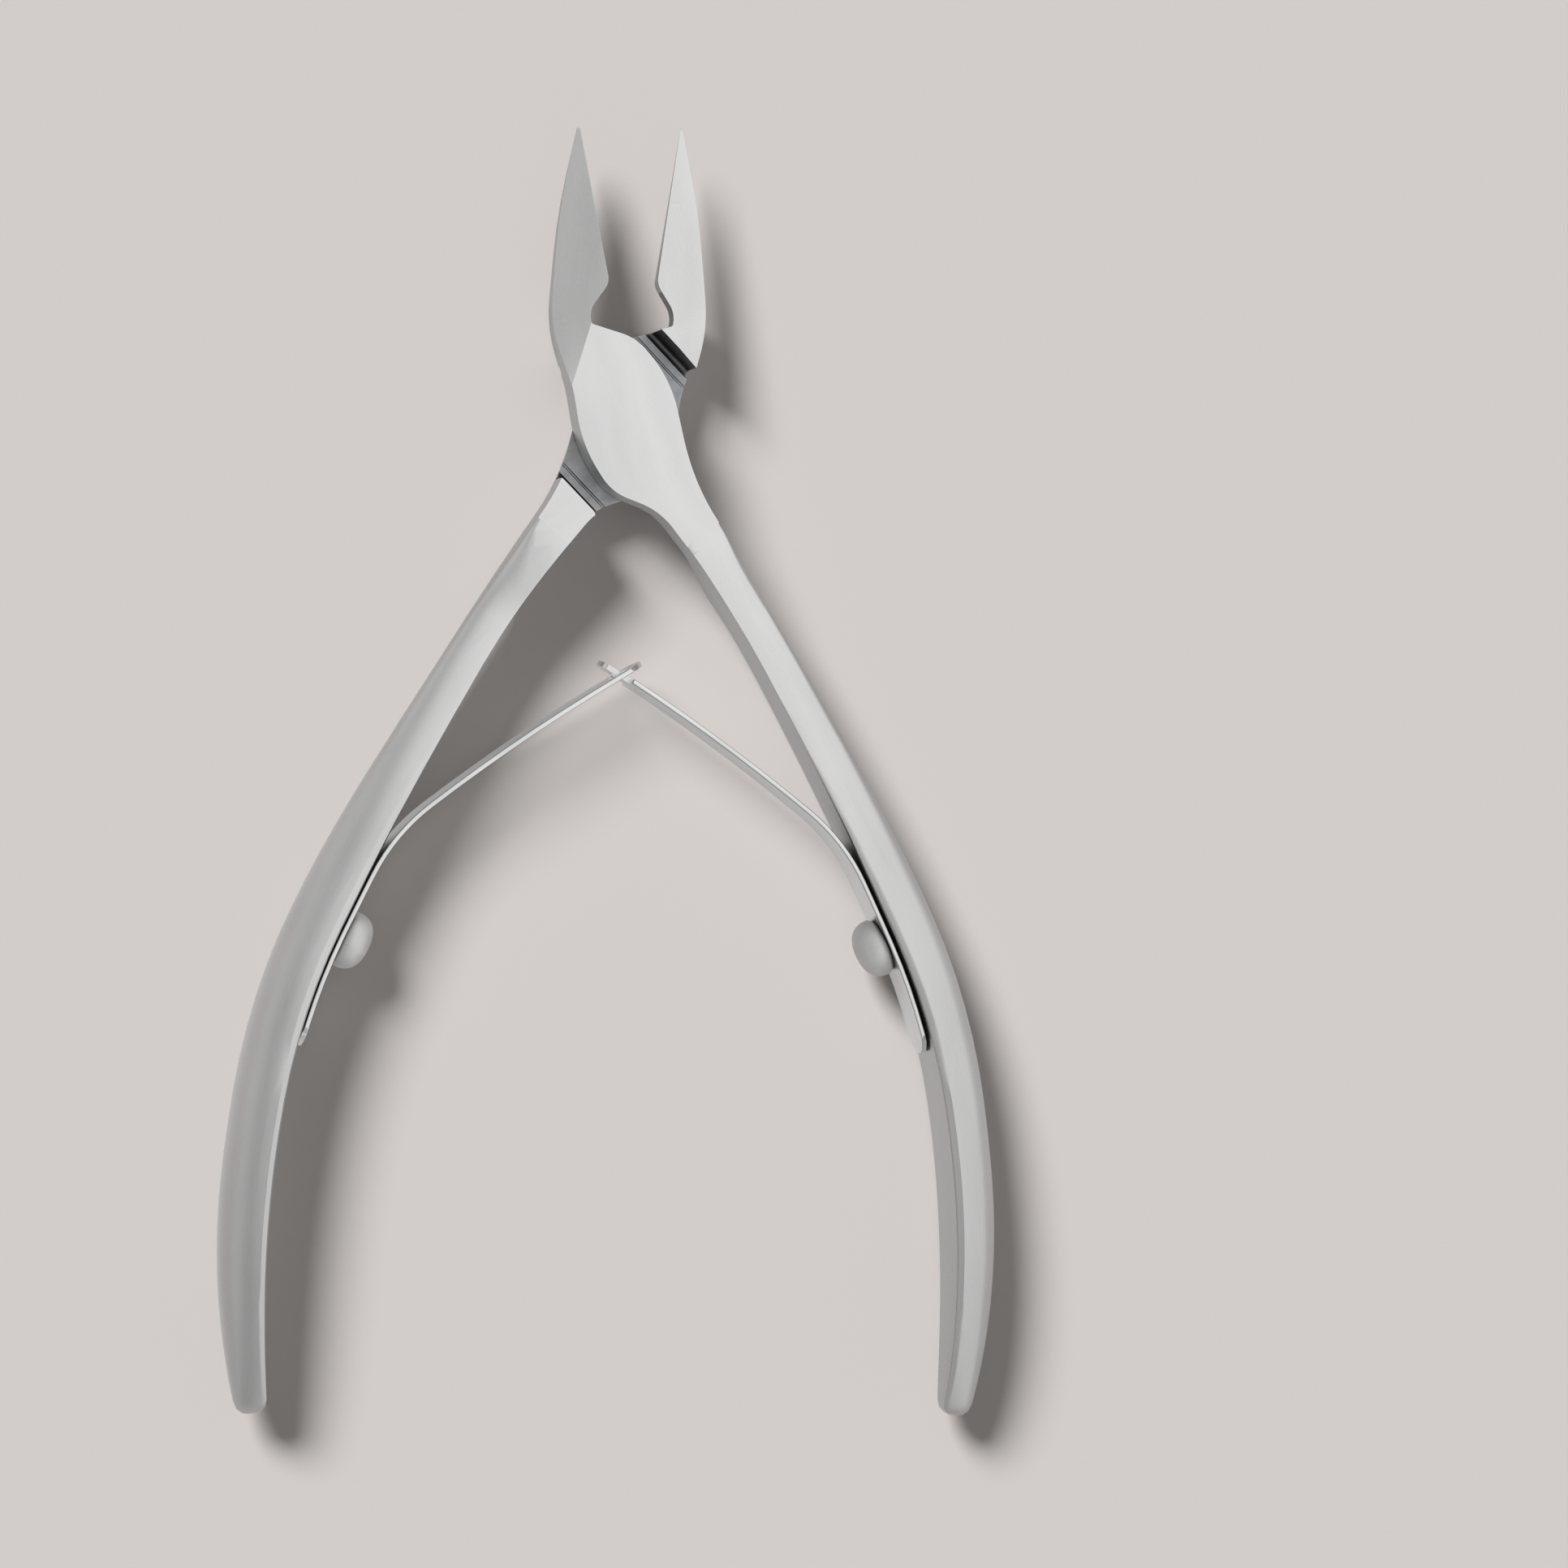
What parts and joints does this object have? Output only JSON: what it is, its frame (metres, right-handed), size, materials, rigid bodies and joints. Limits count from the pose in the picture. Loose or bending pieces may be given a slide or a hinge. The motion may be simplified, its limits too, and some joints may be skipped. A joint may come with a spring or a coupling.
{
  "type": "cuticle nipper",
  "caption": "Stainless cuticle nipper: crossed levers in a lap joint with bevelled jaws, flared grips and hooked leaf springs that hold it open.",
  "frame": {"origin": "on the pivot axis, at the flat back face of the joint", "axes": "+X to the right across the open grips, +Y from the grips to the jaw tips, +Z along the pivot from the back face to the front face"},
  "size_m": [0.0734, 0.1204, 0.0094],
  "materials": {
    "lever_steel": "fine satin grind",
    "spring_steel": "smooth strip",
    "rivet_steel": "tumbled"
  },
  "bodies": {
    "left_half": {"back_lever": "lever_steel", "left_leaf_spring": "spring_steel", "left_spring_rivet": "rivet_steel"},
    "right_half": {"front_lever": "lever_steel", "right_leaf_spring": "spring_steel", "right_spring_rivet": "rivet_steel", "pivot_rivet": "rivet_steel"}
  },
  "joints": [
    {"name": "pivot", "type": "hinge", "parent": "left_half", "child": "right_half", "pos_m": [0, 0, 0.0042], "axis": [0, 0, -1], "range_deg": [0, 19.4], "stiffness_Nm_per_rad": 1.2, "deforming": ["left_leaf_spring", "right_leaf_spring"]}
  ]
}
